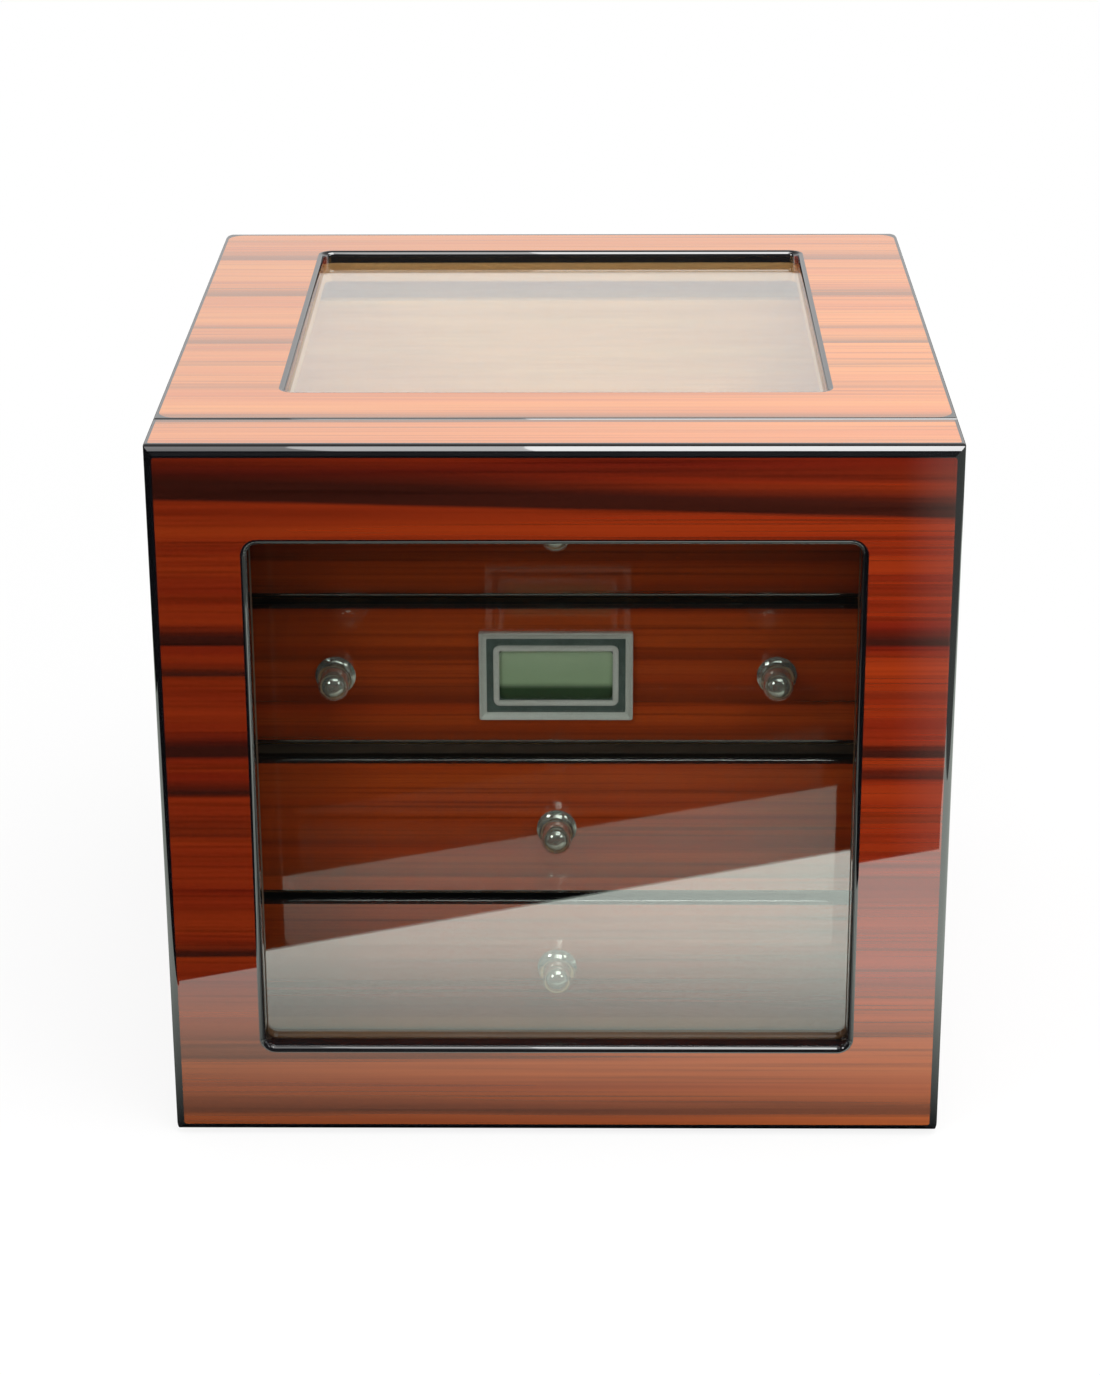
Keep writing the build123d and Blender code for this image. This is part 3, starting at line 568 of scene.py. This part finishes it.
def dress(piece, finish, rider):
    # faces turned out where the shape came out inside in, smooth shading, a finish, and its body and slot
    form = bmesh.new()
    form.from_mesh(piece.data)
    bmesh.ops.recalc_face_normals(form, faces=form.faces)
    form.to_mesh(piece.data)
    form.free()
    piece.data.materials.append(finish)
    piece.data.polygons.foreach_set("use_smooth", [True] * len(piece.data.polygons))
    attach(piece, rider)


def frameRound(node, name, piece, finish):
    # a carried frame on the second drawer's face, as large as the CAD node that it replaces
    low, high = (np.array(end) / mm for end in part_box(node))
    middle, half = (low + high) / 2, (high - low) / 2
    rim = carriedFrame(name, (half[0], half[2]), piece["corner"], piece["profile"], (middle[0], drawerFace, middle[2]))
    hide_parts(node)
    dress(rim, finish, "drawer_2")


# the window's edge in the door, rounded front and inside: a quarter circle outside, its own skin 0.48 mm behind it
windowLining = {
    "half": (115.75, 106.1), "corner": 6.35, "place": (0.0, -149.5, 142.25),
    "proud": 5.17, "inset": 0.05, "outer": 2.33, "inner": 1.85, "steps": 7,
}


def liningArc(radius):
    # (how far in, how far proud) along a quarter circle from the front face to the window's side
    turns = np.radians(np.linspace(0, 90, windowLining["steps"]))
    return [(windowLining["inset"] + radius * math.sin(turn), windowLining["proud"] + radius * math.cos(turn))
            for turn in turns]


liningEnds = [(windowLining["inset"] + windowLining[side], 0.0) for side in ("outer", "inner")]
liningProfile = liningArc(windowLining["outer"]) + liningEnds + liningArc(windowLining["inner"])[::-1]
lining = carriedFrame("windowLining", windowLining["half"], windowLining["corner"], liningProfile, windowLining["place"])
dress(lining, blackLacquer, "door")
print("window lining made")

drawerFace = -109.0   # mm
bezel = {   # a pressed frame with a narrow ridge outside and a slope down to the meter's face, in mm
    "corner": 0.9,
    "profile": [(0.0, 0.0), (0.0, 1.9), (0.06, 2.2), (0.2, 2.45), (0.4, 2.5), (0.65, 2.4), (1.0, 2.05), (1.5, 1.53),
                (1.85, 1.2), (2.05, 1.07), (2.85, 1.04), (2.9, 0.9), (1.6, 0.9), (1.5, 0.4), (1.5, 0.0)],
}
frameRound("hygrometer_bezel", "hygrometerBezelRim", bezel, satinChrome)
ring = {   # a half-round bead on the face, round the display, in mm
    "corner": 2.7,
    "profile": [(0.0, 0.6), (0.0, 1.05), (0.1, 1.5), (0.35, 1.8), (0.75, 1.97), (1.2, 2.0), (1.65, 1.97), (2.05, 1.8),
                (2.3, 1.5), (2.4, 1.05), (2.4, 0.6)],
}
frameRound("hygrometer_window_ring", "hygrometerRingBead", ring, ringPaintedLight)
print("hygrometer bezel and ring made")

line = np.linspace(-table["size"] / 2, table["size"] / 2, 13)
across, along = np.meshgrid(line, line, indexing="xy")
floor = gridMesh("floor", np.stack([across, along, np.full_like(across, -table["drop"])], -1).transpose(1, 0, 2))
floor.data.materials.append(floorMaterial())

room = {
    "behind": 1.0, "before": 0.042, "below": 0.01,          # how bright a mirror sees the wall behind, the dark in front
    "turnFrom": -0.55, "turnTo": -0.1,                      # the direction's y where the one becomes the other
    "wall": [(0.42, 1.0), (0.58, 0.4), (0.9, 0.12)],        # the wall, fading to a dim ceiling, by the direction's z
    "horizon": 1.2, "zenith": 0.55,                         # the soft light all round
}


def makeRoom():
    world = bpy.data.worlds.new("studio")
    bpy.context.scene.world = world
    world.use_nodes = True
    tree = world.node_tree
    tree.nodes.clear()
    direction = addNode(tree, "SeparateXYZ", {0: addNode(tree, "TexCoord").outputs["Generated"]}).outputs
    facing = mapRange(tree, direction[1], room["turnFrom"], room["turnTo"], room["before"], room["behind"], "SMOOTHSTEP")
    above = mapRange(tree, direction[2], -0.02, 0.02)
    wall = calc(tree, "MULTIPLY", facing, rampOf(tree, direction[2], room["wall"]))
    mirrored = calc(tree, "MAXIMUM", calc(tree, "MULTIPLY", wall, above), room["below"])
    rise = mapRange(tree, direction[2], 0.0, 1.0, room["horizon"], room["zenith"])
    ambient, mirror, white = (addNode(tree, "Background", {"Color": (1, 1, 1, 1), "Strength": strength})
                              for strength in (rise, mirrored, 1.0))
    direct, reflected = rayKinds(tree)
    first = addNode(tree, "MixShader", {0: direct, 1: ambient.outputs[0], 2: white.outputs[0]})
    both = addNode(tree, "MixShader", {0: reflected, 1: first.outputs[0], 2: mirror.outputs[0]})
    addNode(tree, "OutputWorld", {"Surface": both.outputs[0]})


makeRoom()


def areaLamp(name, place, target, size, level):
    # level is the lamp's own brightness, where 1 is white; power is pi times area times that
    light = bpy.data.lights.new(name, "AREA")
    light.shape = "RECTANGLE"
    light.size, light.size_y = size
    light.energy = math.pi * size[0] * size[1] * level
    lamp = bpy.data.objects.new(name, light)
    bpy.context.scene.collection.objects.link(lamp)
    lamp.location = place
    lamp.rotation_euler = (Vector(target) - Vector(place)).to_track_quat("-Z", "Y").to_euler()


# the overhead softbox falls off to its left in two steps: (left edge, right edge, level), in m
overhead = {"height": 1.75, "ahead": -0.68, "depth": 1.6, "parts": {
    "overheadSoftbox": (-0.04, 0.97, 3.8), "overheadEdge": (-0.23, -0.04, 1.95), "overheadSpill": (-0.61, -0.23, 0.74)}}
for name, (left, right, level) in overhead["parts"].items():
    middle, ahead = (left + right) / 2, overhead["ahead"]
    areaLamp(name, (middle, ahead, overhead["height"]), (middle, ahead, 0), (right - left, overhead["depth"]), level)
sideBoxes = {"leftSoftbox": ((-0.83, -1.1, 0.95), 7.0), "rightSoftbox": ((0.95, -1.05, 0.95), 4.0)}
for name, (place, level) in sideBoxes.items():
    areaLamp(name, place, (0, 0, 0.16), (0.36, 0.36), level)
print("floor, room and lamps made")

# the photograph's own camera, fitted to the box's corners: m, degrees and pixels
view = {"place": (0.01389, -1.32669, 0.65854), "down": 21.831, "left": -0.766, "roll": -0.259,
        "focal": 3374.0, "height": 1375.0, "sensor": 36.0}


def makeCamera():
    # forward, right and up from the three angles
    down, left, roll = (math.radians(view[key]) for key in ("down", "left", "roll"))
    forward = Vector((math.sin(left) * math.cos(down), math.cos(left) * math.cos(down), -math.sin(down)))
    level = Vector((math.cos(left), -math.sin(left), 0))
    upright = level.cross(forward)
    right = level * math.cos(roll) + upright * math.sin(roll)
    up = upright * math.cos(roll) - level * math.sin(roll)
    camera = bpy.data.objects.new("camera", bpy.data.cameras.new("camera"))
    bpy.context.scene.collection.objects.link(camera)
    camera.matrix_world = Matrix.Translation(view["place"]) @ Matrix((right, up, -forward)).transposed().to_4x4()
    camera.data.sensor_fit = "AUTO"
    camera.data.sensor_width = view["sensor"]
    camera.data.lens = view["focal"] * view["sensor"] / view["height"]
    camera.data.clip_start, camera.data.clip_end = 0.05, 50.0
    bpy.context.scene.camera = camera


makeCamera()
bpy.context.scene.view_settings.view_transform = "Standard"
print("camera set")
